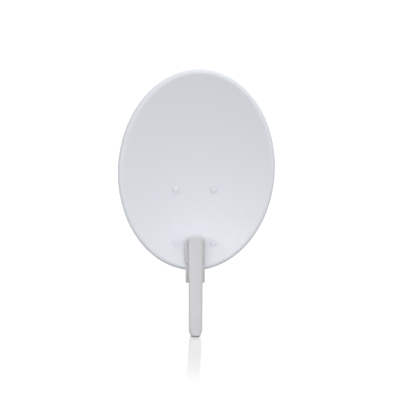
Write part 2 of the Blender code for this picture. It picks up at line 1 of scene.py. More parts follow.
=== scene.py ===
"""Looks of an offset dish antenna: its pressed reflector, moulded feed arm, brackets and fixings.

Every piece is built in the frame of what carries it, the rim, the arm or the tilt bracket, and is then
written into its mesh in the row's own frame: metres, +Z up, the dish looking along -Y.
"""

import math

import bmesh
import bpy
import numpy as np
from bpy.props import FloatProperty, FloatVectorProperty, PointerProperty
from mathutils import Matrix, Vector


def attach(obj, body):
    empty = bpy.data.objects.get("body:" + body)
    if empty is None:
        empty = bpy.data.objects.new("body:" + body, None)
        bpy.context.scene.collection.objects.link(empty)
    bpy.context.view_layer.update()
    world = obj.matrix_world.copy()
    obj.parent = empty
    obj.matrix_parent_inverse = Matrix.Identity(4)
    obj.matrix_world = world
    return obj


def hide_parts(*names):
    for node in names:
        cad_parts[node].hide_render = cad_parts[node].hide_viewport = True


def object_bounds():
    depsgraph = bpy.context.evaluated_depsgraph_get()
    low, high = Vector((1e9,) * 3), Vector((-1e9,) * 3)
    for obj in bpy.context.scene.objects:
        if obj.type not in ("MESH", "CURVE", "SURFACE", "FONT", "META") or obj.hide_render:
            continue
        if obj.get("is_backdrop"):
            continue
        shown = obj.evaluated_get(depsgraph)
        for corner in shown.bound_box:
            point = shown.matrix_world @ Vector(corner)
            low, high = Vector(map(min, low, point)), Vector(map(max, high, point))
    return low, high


bl_info = {
    "name": "Offset Dish Antenna",
    "version": (1, 0, 0),
    "blender": (4, 5, 0),
    "location": "3D View > Sidebar > Antenna",
    "description": "Builds the finished surfaces of an offset dish antenna around its solid parts",
    "category": "Object",
}

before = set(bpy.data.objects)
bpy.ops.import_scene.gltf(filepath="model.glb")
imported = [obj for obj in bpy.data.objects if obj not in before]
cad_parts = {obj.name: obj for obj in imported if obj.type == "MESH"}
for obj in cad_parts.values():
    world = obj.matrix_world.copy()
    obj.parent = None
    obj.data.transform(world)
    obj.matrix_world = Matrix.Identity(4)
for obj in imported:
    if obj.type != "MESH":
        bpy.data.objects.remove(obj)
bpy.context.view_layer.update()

MM = 0.001
GAP = 0.3 * MM

# Photograph, in its own pixels
PHOTO_SIZE = 400
PHOTO_RIM_CENTRE = (197.4, 170.8)
MM_PER_PIXEL = 2.51

# Carriage bolts: shank, blunt point, how far they pass the plate, and their threads
BOLT_RADIUS = 3 * MM
BOLT_POINT = 2.2 * MM
BOLT_POINT_LENGTH = 0.6 * MM
BOLT_REACH = 9 * MM
BOLT_THREAD = 14 * MM
BOLT_PITCH = 1 * MM
BOLT_THREAD_DEPTH = 0.5 * MM

# Zinc bolts: depth of thread, chamfer at the end, where the thread stops, and its length
THREAD_DEPTH = 0.45 * MM
POINT = 0.8 * MM
THREAD_RUNOUT = 0.9 * MM
HEX_THREAD = 26 * MM
U_BOLT_THREAD = 30 * MM
U_BOLT_PLAY = 0.5 * MM

# How far each end of the arm draws in across, and over what length
TOP_NOSE = (6 * MM, 8 * MM)
TIP_NOSE = (6.2 * MM, 15 * MM)
NOSE_POWER = 1.5
FINE_STATIONS = 8 * MM

# Covers on the arm's rear side: width, length, corner, place along the arm, height above it
COVERS = {
    "feed_window": (22 * MM, 34 * MM, 6 * MM, -128 * MM, 1.2 * MM),
    "cable_door": (20 * MM, 40 * MM, 4 * MM, -78 * MM, 0.8 * MM),
}
COVER_EDGE = 0.8 * MM
COVER_CROWN = 0.25 * MM
COVER_DEPTH = 3 * MM
DOOR_GROOVE = 0.4 * MM

# Rounded edge of bent sheet and of the cradle, and how close vertices are merged first
SHEET_EDGE = 0.5 * MM
MERGE = 0.004 * MM

# Floor: half its side, and where along Y its polish begins and is full, in metres
FLOOR_HALF_SIDE = 60.0
MATT_UP_TO = -0.85
POLISHED_FROM = -0.3


def linear(colour):
    """An sRGB hex colour as linear red, green and blue."""
    channels = [int(colour[i : i + 2], 16) / 255 for i in (0, 2, 4)]
    return tuple(c / 12.92 if c <= 0.04045 else ((c + 0.055) / 1.055) ** 2.4 for c in channels)


def length(name, description, millimetres):
    """A length property whose default is given in millimetres."""
    return FloatProperty(
        name=name, description=description, default=millimetres * MM, unit="LENGTH", precision=5
    )


def angle(name, description, degrees):
    """An angle property whose default is given in degrees."""
    return FloatProperty(
        name=name, description=description, default=math.radians(degrees), subtype="ANGLE"
    )


def watts(name, description, power):
    """A light's power, in watts."""
    return FloatProperty(name=name, description=description, default=power, unit="POWER")


def amount(name, description, value):
    """A plain number, such as a strength or a share."""
    return FloatProperty(name=name, description=description, default=value)


def colour(name, description, code):
    """A colour property whose default is an sRGB hex value."""
    return FloatVectorProperty(
        name=name, description=description, default=linear(code), subtype="COLOR", min=0, max=1
    )


class ReflectorSizes(bpy.types.PropertyGroup):
    """Sizes of the pressed oval reflector and of what is bolted through it."""

    lean: angle("Lean", "How far the rim's plane leans back from the vertical", 0)
    half_width: length("Half Width", "Rim's centre to its side", 200)
    half_height: length("Half Height", "Rim's centre to its top, along the rim's plane", 256.5)
    lip: length("Lip Width", "Crease at the bowl's edge to the outside of the rolled lip", 12.5)
    land: length("Lip Land", "Flat part of the lip beside the crease", 3)
    rise: length("Lip Rise", "How far the lip stands in front of the crease", 0.3)
    roll: length("Lip Roll", "Radius of the rolled edge", 9.5)
    skirt: length("Skirt", "Straight part behind the rolled edge", 1.5)
    sheet: length("Sheet", "Thickness of the steel sheet", 1.5)
    depth: length("Bowl Depth", "Rim's plane to the bowl's middle, along the boresight", 40)
    turn: angle("Boresight", "How far the boresight is turned up from the rim's normal", 30)
    bolt_x: length("Bolt Half Spacing", "Middle of the dish to a bolt, across", 49)
    bolt_upper: length("Upper Bolts", "Height of the upper bolts from the rim's centre", -51.5)
    bolt_lower: length("Lower Bolts", "Height of the lower bolts from the rim's centre", -186.5)
    head: length("Head Radius", "Radius of a carriage bolt's round head", 8.25)
    head_height: length("Head Height", "Height of a carriage bolt's head", 1.1)
    button: length("Button Radius", "Raised middle of a carriage bolt's head", 6.2)
    groove: length("Groove", "Width and depth of the groove round the button", 0.6)


class ArmSizes(bpy.types.PropertyGroup):
    """Sizes of the feed arm, along Y from its tip to its top in its own frame."""

    to_rim: angle("Slope", "Angle between the arm and the rim's plane", 9.3)
    crease_gap: length("Crease Gap", "Cradle to the crease that it passes", 1)
    web: length("Cradle Web", "Thickness of the cradle's floor under the arm", 3)
    width_top: length("Width In Cradle", "Arm's width in the cradle", 37)
    width_low: length("Width Below Cradle", "Arm's width just below the cradle", 34.6)
    width_tip: length("Width At Tip", "Arm's width at its tip", 33.6)
    depth: length("Depth", "Arm's depth, front to rear", 20)
    top: length("Top", "Top end of the arm", 75.5)
    tip: length("Tip", "Lower end of the arm", -175.5)
    cradle_low: length("Cradle Low", "Lower end of the cradle", -42)
    shoulder: length("Shoulder", "Length over which the arm narrows", 12)
    parting: length("Parting Line", "Where the front and rear shells meet", -2)
    top_cap: length("Top Cap", "Length of the top cap", 16)
    tip_cap: length("Tip Cap", "Length of the tip cap", 24)
    top_edge: length("Top Edge", "Round of the front and rear edges at the top", 4)
    tip_edge: length("Tip Edge", "Round of the front and rear edges at the tip", 1.5)
    squareness: amount("Squareness", "Power of the arm's section", 4.0)


class BracketSizes(bpy.types.PropertyGroup):
    """Sizes of the brackets and fixings behind the dish."""

    plate_lean: angle("Plate Lean", "How far the tilt bracket's plate leans back", 7.5)
    stand_off: length("Stand-off", "Reflector to the plate at the bolts", 10.5)
    plate: length("Plate", "Thickness of the plate", 2.5)
    to_mast: length("Plate To Mast", "Plate to the mast's near side", 76)
    mast: length("Mast Radius", "Radius of the mast that the U-bolts hold", 25)
    rod: length("Rod Radius", "Radius of the U-bolts' rod", 4)
    u_bolt_z: length("U-bolt Height", "U-bolt to the middle of the bracket", 38)
    tail: length("U-bolt Tail", "How far a U-bolt's legs reach in front of the mast", 20)
    pitch: length("Thread Pitch", "Pitch of the M8 threads", 1.25)


class Finishes(bpy.types.PropertyGroup):
    """Colours of the finishes, as measured in even light."""

    paint: colour("Reflector Paint", "Powder coat on the reflector", "dadde3")
    moulding: colour("Arm Plastic", "Weatherproof ASA of the arm and cradle", "c6c6c8")
    cover: colour("Cover Plastic", "Polycarbonate of the window and the cable door", "bcbdc1")
    bracket: colour("Bracket Paint", "Powder coat on the brackets", "c9ccd0")
    zinc: colour("Zinc Plate", "Bright zinc on the fixings", "c3c6c9")
    nylon: colour("Nylon", "Natural grey nylon of the spacers", "97999c")
    floor: colour("Floor", "White acrylic floor", "e6e6e6")


class StageSettings(bpy.types.PropertyGroup):
    """Where the camera stands and how strong the lights are."""

    azimuth: angle("Azimuth", "Camera's place round the object, from its front", -9.4)
    elevation: angle("Elevation", "Camera's height above the horizon", 9.9)
    roll: angle("Roll", "Camera's turn about its own axis", 1.6)
    distance: length("Distance", "Camera to the rim", 6000)
    overhead: watts("Overhead Light", "Power of the soft light overhead", 12.0)
    fill: watts("Front Light", "Power of the large soft light in front", 20.0)
    side: watts("Side Light", "Power of the soft light at the left", 20.0)
    sky: amount("Surround", "Strength of the white surround", 1.1)
    backdrop: amount("Backdrop", "Strength behind the object", 1.6)
    left: amount("Left Share", "Share of the surround kept at the left", 0.3)
    accent: watts("Arm Light", "Power of the narrow light on the arm", 0.1)
    beam: angle("Arm Beam", "How far the narrow light on the arm fans out", 12)


GROUPS = {
    "antenna_reflector": ReflectorSizes,
    "antenna_arm": ArmSizes,
    "antenna_bracket": BracketSizes,
    "antenna_finish": Finishes,
    "antenna_stage": StageSettings,
}


# Frames of the rim, the arm and the tilt bracket

def lean_axes(lean):
    """Columns are right, up along a plane that leans back by lean, and that plane's front."""
    up = (0, math.sin(lean), math.cos(lean))
    front = (0, -math.cos(lean), math.sin(lean))
    return np.array([(1, 0, 0), up, front]).T


def bowl_depth(sizes, x, height):
    """Where the bowl's surface is, square to the rim's plane, at a place seen along its normal.

    A rim-plane point goes back by depth * (1 - rho^2) along the boresight. The boresight is turned
    up, so the point seen at a height came from a little above it: that is solved by repeated steps.
    """
    x, height = np.asarray(x, float), np.asarray(height, float)
    half_width = sizes.half_width - sizes.lip
    half_height = sizes.half_height - sizes.lip
    start = height
    for _ in range(30):
        share = 1 - (x / half_width) ** 2 - (start / half_height) ** 2
        start = height + sizes.depth * share * math.sin(sizes.turn)
    return -sizes.depth * share * math.cos(sizes.turn)


def plate_in_rim(scene):
    """(height, depth) of the tilt bracket's plate in the rim's frame, midway between the bolts' rows."""
    dish = scene.antenna_reflector
    rows = (dish.bolt_upper, dish.bolt_lower)
    bowl = float(np.mean(bowl_depth(dish, dish.bolt_x, rows)))
    return sum(rows) / 2, bowl - dish.sheet - scene.antenna_bracket.stand_off


def rim_frame(scene):
    """Place and axes of the rim, set so that the tilt bracket's plate is level with the origin."""
    lean = scene.antenna_reflector.lean
    up, back = plate_in_rim(scene)
    y = -scene.antenna_bracket.to_mast - (up * math.sin(lean) - back * math.cos(lean))
    z = -(up * math.cos(lean) + back * math.sin(lean))
    return np.array((0, y, z)), lean_axes(lean)


def plate_frame(scene):
    """Place and axes of the tilt bracket's plate, centred between the four bolts."""
    place, axes = rim_frame(scene)
    return place + axes @ (0, *plate_in_rim(scene)), lean_axes(scene.antenna_bracket.plate_lean)


def arm_frame(scene):
    """Place and axes of the arm: the crease at the rim's foot lies under its origin."""
    dish, arm = scene.antenna_reflector, scene.antenna_arm
    place, axes = rim_frame(scene)
    out = arm.web + GAP + arm.depth / 2
    crease = dish.half_height - dish.lip
    local = (0, -crease + out * math.sin(arm.to_rim), arm.crease_gap + out * math.cos(arm.to_rim))
    return place + axes @ local, lean_axes(dish.lean + arm.to_rim)


def in_row(points, carrier):
    """Points of a carrier's frame, in the row's frame."""
    place, axes = carrier
    return np.asarray(points) @ axes.T + place


# Surfaces

def add_piece(name, points, parts, finish, smooth=30):
    """An object at the origin from an array of points and a few arrays of faces."""
    mesh = bpy.data.meshes.new(name)
    mesh.from_pydata(np.asarray(points, float), [], [face for part in parts for face in part.tolist()])
    mesh.shade_smooth()
    mesh.set_sharp_from_angle(angle=math.radians(smooth))
    mesh.materials.append(finish)
    piece = bpy.data.objects.new(name, mesh)
    bpy.context.collection.objects.link(piece)
    return piece


def grid_faces(rows, columns, closed_rows=False):
    """Quads of a grid that closes round its columns, and round its rows too where asked."""
    row = np.arange(rows if closed_rows else rows - 1)
    low = row[:, None] * columns
    high = (row[:, None] + 1) % rows * columns
    here = np.arange(columns)
    there = (here + 1) % columns
    return np.stack([low + here, low + there, high + there, high + here], -1).reshape(-1, 4)


def fan_faces(middle, start, columns, outwards):
    """Triangles from a middle point to a ring of points."""
    here = np.arange(columns)
    there = (here + 1) % columns
    ring = np.stack([np.full(columns, middle), start + here, start + there], -1)
    return ring if outwards else ring[:, ::-1]


def capped_grid(name, grid, finish, carrier, smooth=30):
    """A grid of rings, closed at both ends by a fan to the ring's mean. Rings turn from X to Y."""
    rows, columns, _ = grid.shape
    points = np.concatenate([grid.reshape(-1, 3), grid[[0, -1]].mean(axis=1)])
    parts = (
        grid_faces(rows, columns),
        fan_faces(rows * columns, 0, columns, False),
        fan_faces(rows * columns + 1, (rows - 1) * columns, columns, True),
    )
    return add_piece(name, in_row(points, carrier), parts, finish, smooth)


def full_turn(steps):
    """Angles of a full turn in equal steps, the last one a step short of the first."""
    return 2 * math.pi * np.arange(steps) / steps


def column(radius, heights):
    """Profile rows of one radius at each of the heights."""
    return np.stack([np.full(len(heights), radius), heights], 1)


def hexagon(inner, turn):
    """Radius of a hexagon at each angle: its inner radius over the cosine of the angle to its flat."""
    return inner / np.cos((turn + math.pi / 6) % (math.pi / 3) - math.pi / 6)


def turned_grid(profile, sides, hexes=(), chamfer=None, thread=None):
    """Rings of a (radius, height) profile turned about Z.

    Rows in hexes follow a hexagon with that inner radius, cut by a cone that starts at chamfer
    (radius, height) and opens at 30 degrees. thread (low, high, pitch, depth) draws a helix: the
    radius falls by depth times a triangle wave of height / pitch less the turn.
    """
    profile = np.asarray(profile, float)
    turn = full_turn(sides)
    radius = np.repeat(profile[:, :1], sides, 1)
    height = np.repeat(profile[:, 1:], sides, 1)
    if hexes:
        hexes = list(hexes)
        cone = chamfer[0] + (chamfer[1] - height[hexes]) / math.tan(math.radians(30))
        radius[hexes] = np.minimum(hexagon(radius[hexes], turn), cone)
    if thread:
        low, high, pitch, depth = thread
        phase = (height / pitch - turn / (2 * math.pi)) % 1
        inside = (height > low) & (height < high)
        radius = radius - inside * depth * np.abs(2 * phase - 1)
    return np.stack([radius * np.cos(turn), radius * np.sin(turn), height], -1)


def axis_turn(direction):
    """The rotation that takes Z to a direction."""
    return np.array(Vector((0, 0, 1)).rotation_difference(Vector(direction)).to_matrix())


def along_axis(grid, direction, place):
    """Turns a grid built about Z so that Z points along a direction, and moves it to a place."""
    return grid @ axis_turn(direction).T + np.asarray(place)


def ring_piece(name, grid, finish, smooth=30):
    """A closed profile turned into a ring: the last row joins the first."""
    rows, columns, _ = grid.shape
    return add_piece(name, grid.reshape(-1, 3), [grid_faces(rows, columns, True)], finish, smooth)


ROW_FRAME = (np.zeros(3), np.eye(3))


def dress(piece, body, *nodes):
    """The piece stands for these nodes and moves with their body."""
    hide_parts(*nodes)
    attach(piece, body)
    return piece


# Finishes

def add_node(tree, kind, inputs=None, **settings):
    """A node with its settings, and its inputs set to values or linked to sockets."""
    made = tree.nodes.new(kind)
    for name, value in settings.items():
        setattr(made, name, value)
    for name, value in (inputs or {}).items():
        if isinstance(value, bpy.types.NodeSocket):
            tree.links.new(value, made.inputs[name])
        else:
            made.inputs[name].default_value = value
    return made


def new_material(name):
    """An empty node material with its Principled shader and Object coordinates."""
    made = bpy.data.materials.new(name)
    made.use_nodes = True
    tree = made.node_tree
    tree.nodes.clear()
    place = add_node(tree, "ShaderNodeTexCoord").outputs["Object"]
    shader = add_node(tree, "ShaderNodeBsdfPrincipled")
    add_node(tree, "ShaderNodeOutputMaterial", {"Surface": shader.outputs["BSDF"]})
    return made, tree, place, shader


def patterned(name, base, darker, rough, relief, cloud, grain, rough_grain=False, **fixed):
    """A material whose colour, roughness and relief wander with two noises.

    cloud and grain are (millimetres across, detail). With the cloud the colour goes from a share of
    its base to the base. With the cloud, or with the grain where asked, the roughness goes between two
    numbers. The grain is the relief, with its height in metres. fixed is set on the shader as it is.
    """
    made, tree, place, shader = new_material(name)
    fields = []
    for across, detail in (cloud, grain):
        inputs = {"Vector": place, "Scale": 1 / (across * MM), "Detail": detail}
        fields.append(add_node(tree, "ShaderNodeTexNoise", inputs).outputs["Fac"])
    coarse, fine = fields
    inputs = {"Factor": coarse, "A": (*[c * darker for c in base], 1), "B": (*base, 1)}
    tint = add_node(tree, "ShaderNodeMix", inputs, data_type="RGBA").outputs["Result"]
    inputs = {"Value": fine if rough_grain else coarse, "From Min": 0.3, "From Max": 0.7}
    inputs |= {"To Min": rough[0], "To Max": rough[1]}
    level = add_node(tree, "ShaderNodeMapRange", inputs).outputs["Result"]
    inputs = {"Height": fine, "Distance": relief, "Strength": 1.0}
    normal = add_node(tree, "ShaderNodeBump", inputs).outputs["Normal"]
    tree.links.new(tint, shader.inputs["Base Color"])
    tree.links.new(level, shader.inputs["Roughness"])
    tree.links.new(normal, shader.inputs["Normal"])
    for socket, value in fixed.items():
        shader.inputs[socket].default_value = value
    return made


def powder_coat(name, base, roughness, peel):
    """Polyester powder coat on steel: satin, with the soft orange peel of cured powder.

    The peel's waves are 2 to 3 mm across and a few hundredths of a millimetre high.
    """
    rough = (roughness - 0.03, roughness + 0.03)
    return patterned(name, base, 0.985, rough, peel, cloud=(90, 3), grain=(2.4, 2), IOR=1.5)


def moulded_plastic(name, base, roughness):
    """Injection-moulded plastic: matt, from a spark-eroded mould with a grain of about 0.6 mm."""
    rough = (roughness - 0.05, roughness + 0.05)
    noises = {"cloud": (60, 3), "grain": (0.6, 1), "rough_grain": True}
    return patterned(name, base, 0.98, rough, 0.02 * MM, **noises, IOR=1.52)


def bright_zinc(name, base):
    """Zinc-plated steel: a dull bright metal with a mottled passivation about 4 mm across."""
    noises = {"cloud": (4, 4), "grain": (0.8, 2)}
    return patterned(name, base, 0.86, (0.24, 0.42), 0.01 * MM, **noises, Metallic=1.0)


def white_acrylic(name, base):
    """The floor: a white sheet whose polish mirrors what stands on it, and fades to matt in front.

    Its tint wanders over patches about 400 mm across, too faint to tell from an even white.
    """
    made, tree, place, shader = new_material(name)
    inputs = {"Vector": place, "Scale": 1 / (400 * MM), "Detail": 2}
    cloud = add_node(tree, "ShaderNodeTexNoise", inputs).outputs["Fac"]
    inputs = {"Factor": cloud, "A": (*[c * 0.998 for c in base], 1), "B": (*base, 1)}
    tint = add_node(tree, "ShaderNodeMix", inputs, data_type="RGBA").outputs["Result"]
    toward = add_node(tree, "ShaderNodeSeparateXYZ", {"Vector": place}).outputs["Y"]
    inputs = {"Value": toward, "From Min": MATT_UP_TO, "From Max": POLISHED_FROM}
    settings = {"interpolation_type": "SMOOTHSTEP"}
    polish = add_node(tree, "ShaderNodeMapRange", inputs, **settings).outputs["Result"]
    inputs = {"Factor": polish, "A": (1, 1, 1, 1), "B": tint}
    tone = add_node(tree, "ShaderNodeMix", inputs, data_type="RGBA").outputs["Result"]
    level = add_node(tree, "ShaderNodeMath", {0: polish, 1: 0.5}, operation="MULTIPLY").outputs["Value"]
    tree.links.new(tone, shader.inputs["Base Color"])
    tree.links.new(level, shader.inputs["Specular IOR Level"])
    shader.inputs["Roughness"].default_value = 0.1
    shader.inputs["IOR"].default_value = 1.5
    return made


def finishes(scene):
    """All the materials, made once and then found by name."""
    tones = scene.antenna_finish
    looks = {
        "polyester_powder_coat": (powder_coat, tones.paint, 0.42, 0.03 * MM),
        "bracket_powder_coat": (powder_coat, tones.bracket, 0.5, 0.05 * MM),
        "moulded_asa": (moulded_plastic, tones.moulding, 0.46),
        "moulded_polycarbonate": (moulded_plastic, tones.cover, 0.36),
        "moulded_nylon": (moulded_plastic, tones.nylon, 0.55),
        "bright_zinc": (bright_zinc, tones.zinc),
        "white_acrylic": (white_acrylic, tones.floor),
    }
    return {n: bpy.data.materials.get(n) or maker(n, *look) for n, (maker, *look) in looks.items()}


# Reflector

def lip_profile(sizes, steps):
    """(outward, forward) points of the lip: a land that rises by a sine, a quarter round, a skirt."""
    share = np.linspace(0, 1, 5)[1:]
    land = np.stack([sizes.land * share, sizes.rise * np.sin(share * math.pi / 2)], 1)
    turn = np.linspace(0, math.pi / 2, steps)[1:]
    rolled = np.stack(
        [sizes.land + sizes.roll * np.sin(turn), sizes.rise - sizes.roll * (1 - np.cos(turn))], 1
    )
    skirt = np.array([(sizes.lip, sizes.rise - sizes.roll - sizes.skirt * t) for t in (0.5, 1)])
    return np.concatenate([land, rolled, skirt])


def reflector_grid(sizes, around, rings, roll_steps):
    """Rings of the front surface: offset paraboloid inside the crease, rolled lip outside it.

    Inside, the point at (rho, phi) is (a rho cos phi, b rho sin phi) moved back by
    depth * (1 - rho^2) along the boresight. Outside, the crease ellipse grows by the lip's profile.
    """
    phi = full_turn(around)
    half_width = sizes.half_width - sizes.lip
    half_height = sizes.half_height - sizes.lip
    rho = np.linspace(0, 1, rings + 1)[1:, None]
    back = sizes.depth * (1 - rho**2)
    x = half_width * rho * np.cos(phi)
    y = half_height * rho * np.sin(phi) - back * math.sin(sizes.turn)
    z = np.broadcast_to(-back * math.cos(sizes.turn), x.shape)
    bowl = np.stack([x, y, z], -1)
    out, forward = lip_profile(sizes, roll_steps).T[:, :, None]
    x = (half_width + out) * np.cos(phi)
    y = (half_height + out) * np.sin(phi)
    lip = np.stack([x, y, np.broadcast_to(forward, x.shape)], -1)
    return np.concatenate([bowl, lip])


class ANTENNA_OT_reflector(bpy.types.Operator):
    """Build the pressed reflector with its bowl and rolled lip"""

    bl_idname = "antenna.reflector"
    bl_label = "Build Reflector"
    bl_options = {"REGISTER", "UNDO"}

    def execute(self, context):
        scene = context.scene
        sizes = scene.antenna_reflector
        front = reflector_grid(sizes, around=240, rings=56, roll_steps=14)
        slope = np.gradient(front, axis=0)
        sweep = np.roll(front, -1, axis=1) - np.roll(front, 1, axis=1)
        normal = np.cross(slope, sweep)
        normal /= np.linalg.norm(normal, axis=2, keepdims=True)
        rear = front - sizes.sheet * normal
        rows, columns, _ = front.shape
        middle = np.array((0, -sizes.depth * math.sin(sizes.turn), -sizes.depth * math.cos(sizes.turn)))
        sheets = np.concatenate([front, rear[::-1]]).reshape(-1, 3)
        points = np.concatenate([sheets, [middle], [middle - (0, 0, sizes.sheet)]])
        last = 2 * rows * columns
        parts = (
            grid_faces(2 * rows, columns)[:, ::-1],
            fan_faces(last, 0, columns, True),
            fan_faces(last + 1, last - columns, columns, False),
        )
        coat = finishes(scene)["polyester_powder_coat"]
        piece = add_piece("reflector_shell", in_row(points, rim_frame(scene)), parts, coat, smooth=12)
        dress(piece, "root", "reflector")
        return {"FINISHED"}


def bolt_spots(scene):
    """Each bolt's name, its place in the plate's frame and the bowl's height there."""
    dish = scene.antenna_reflector
    rim_place, rim_axes = rim_frame(scene)
    plate_place, plate_axes = plate_frame(scene)
    turn = full_turn(16)
    for row, height in (("upper", dish.bolt_upper), ("lower", dish.bolt_lower)):
        for side, sign in (("left", -1), ("right", 1)):
            x = sign * dish.bolt_x + dish.head * np.append(np.cos(turn), 0)
            up = height + dish.head * np.append(np.sin(turn), 0)
            seen = np.stack([x, up, bowl_depth(dish, x, up)], -1) @ rim_axes.T + rim_place
            local = (seen - plate_place) @ plate_axes
            yield f"{row}_{side}", (sign * dish.bolt_x, local[-1, 1]), local[:-1, 2].max() + GAP


def head_profile(sizes):
    """(radius, height) of a bolt's head above its seat: a thin flange, a groove, a flat button.

    An edge is a quarter round of radius a: r - a + a cos t across and z - a + a sin t up.
    """
    ease, middle = 0.25 * MM, 0.4 * MM
    turn = np.linspace(0, math.pi / 2, 6)
    edge = ease * np.stack([np.cos(turn) - 1, np.sin(turn) - 1], 1)
    flange = 0.6 * sizes.head_height
    trough = flange - sizes.groove
    outer = sizes.button + sizes.groove
    foot = [(sizes.head - ease, 0), (sizes.head, ease)]
    lip = edge + (sizes.head, flange)
    hollow = [(outer, flange), (outer, trough), (sizes.button, trough)]
    top = edge + (sizes.button, sizes.head_height)
    return np.concatenate([foot, lip, hollow, top, [(middle, sizes.head_height)]])


class ANTENNA_OT_carriage_bolts(bpy.types.Operator):
    """Build the four round-headed bolts that hold the reflector on its bracket"""

    bl_idname = "antenna.carriage_bolts"
    bl_label = "Build Carriage Bolts"
    bl_options = {"REGISTER", "UNDO"}

    def execute(self, context):
        scene = context.scene
        dish, bracket = scene.antenna_reflector, scene.antenna_bracket
        coat = finishes(scene)["polyester_powder_coat"]
        for name, (x, y), seat in bolt_spots(scene):
            tail = -bracket.plate - BOLT_REACH
            shank = column(BOLT_RADIUS, np.linspace(tail + BOLT_POINT_LENGTH, seat, 90))
            profile = np.concatenate([[(BOLT_POINT, tail)], shank, head_profile(dish) + (0, seat)])
            thread = (tail, tail + BOLT_THREAD, BOLT_PITCH, BOLT_THREAD_DEPTH)
            grid = turned_grid(profile, 48, thread=thread) + np.array((x, y, 0))
            piece = capped_grid(f"dome_bolt_{name}", grid, coat, plate_frame(scene), smooth=40)
            dress(piece, "root", f"carriage_bolt_{name}")
        return {"FINISHED"}


# Feed arm

def arm_half_width(sizes, y):
    """Half the arm's width: full in the cradle, narrowed over the shoulder, then a straight taper."""
    shoulder = np.clip((y - sizes.cradle_low) / sizes.shoulder, 0, 1)
    shoulder = shoulder * shoulder * (3 - 2 * shoulder)
    taper = np.clip((sizes.cradle_low - y) / (sizes.cradle_low - sizes.tip), 0, 1)
    low = sizes.width_low + (sizes.width_tip - sizes.width_low) * taper
    return (low + (sizes.width_top - low) * shoulder) / 2


def end_inset(sizes, y):
    """How far the section draws in near either end, across and in depth.

    Across it is a blunt nose, to the power 1.5. In depth it is a small quarter round.
    """
    across = deep = np.zeros_like(y)
    for end, (wide, long), edge in (
        (sizes.top, TOP_NOSE, sizes.top_edge),
        (sizes.tip, TIP_NOSE, sizes.tip_edge),
    ):
        across = across + wide * np.clip(1 - np.abs(end - y) / long, 0, 1) ** NOSE_POWER
        short = np.clip(1 - np.abs(end - y) / edge, 0, 1)
        deep = deep + edge * (1 - np.sqrt(1 - short**2))
    return across, deep


def arm_rings(sizes, stations, turn):
    """Superellipse rings at stations along Y: |x / a|^n + |z / b|^n = 1 at each angle of turn."""
    across, deep = end_inset(sizes, stations)
    half_width = (arm_half_width(sizes, stations) - across)[:, None]
    half_depth = (sizes.depth / 2 - deep)[:, None]
    power = 2 / sizes.squareness
    x = half_width * np.sign(np.cos(turn)) * np.abs(np.cos(turn)) ** power
    z = half_depth * np.sign(np.sin(turn)) * np.abs(np.sin(turn)) ** power
    y = np.broadcast_to(stations[:, None], x.shape)
    return np.stack([x, y, z], -1)


def arm_stations(sizes, low, high):
    """Places along the arm between two ends, close together where an end is rounded."""
    places = np.linspace(low, high, 90)
    share = 1 - np.cos(np.linspace(0, math.pi / 2, 30))
    for end in (sizes.top, sizes.tip):
        places = np.append(places, end + np.sign(sizes.parting - end) * FINE_STATIONS * share)
    return np.unique(np.round(places[(places >= low) & (places <= high)], 6))


class ANTENNA_OT_feed_arm(bpy.types.Operator):
    """Build the feed arm's two shells and its two end caps"""

    bl_idname = "antenna.feed_arm"
    bl_label = "Build Feed Arm"
    bl_options = {"REGISTER", "UNDO"}

    def execute(self, context):
        scene = context.scene
        sizes = scene.antenna_arm
        carrier = arm_frame(scene)
        plastic = finishes(scene)["moulded_asa"]
        cap_line, tip_line = sizes.top - sizes.top_cap, sizes.tip + sizes.tip_cap
        half = GAP / 2
        around = -full_turn(120)
        for name, low, high in (
            ("arm_top_cap", cap_line + half, sizes.top),
            ("arm_tip_cap", sizes.tip, tip_line - half),
        ):
            rings = arm_rings(sizes, arm_stations(sizes, low, high), around)
            piece = capped_grid(f"{name}_moulded", rings, plastic, carrier, smooth=40)
            dress(piece, "root", name)
        level = sizes.parting / (sizes.depth / 2)
        start = math.asin(-(abs(level) ** (sizes.squareness / 2)))
        stations = arm_stations(sizes, tip_line + half, cap_line - half)
        for name, first, last, shift in (
            ("arm_front_shell", math.pi - start, start, half),
            ("arm_rear_shell", start, -math.pi - start, -half),
        ):
            turn = np.linspace(first, last, 90)
            rings = arm_rings(sizes, stations, turn)
            rings[:, [0, -1], 2] = sizes.parting + shift
            piece = capped_grid(f"{name}_moulded", rings, plastic, carrier, smooth=40)
            dress(piece, "root", name)
        return {"FINISHED"}


def outline_rows(wide, long, corner, rows, steps=8, least=0.2 * MM):
    """Rounded rectangles drawn in by each row's inset, at each row's height.

    A corner's points are its centre plus its radius times (cos t, sin t), a quarter turn each. The
    radius shrinks with the inset, down to the least one.
    """
    quarter = np.linspace(0, math.pi / 2, steps)
    turn = (quarter + math.pi / 2 * np.arange(4)[:, None]).ravel()
    side_x = np.repeat([1, -1, -1, 1], steps)
    side_y = np.repeat([1, 1, -1, -1], steps)
    inset, height = np.asarray(rows).T[:, :, None]
    radius = np.maximum(corner - inset, least)
    x = side_x * (wide / 2 - inset - radius) + radius * np.cos(turn)
    y = side_y * (long / 2 - inset - radius) + radius * np.sin(turn)
    return np.stack([x, y, np.broadcast_to(height, x.shape)], -1)


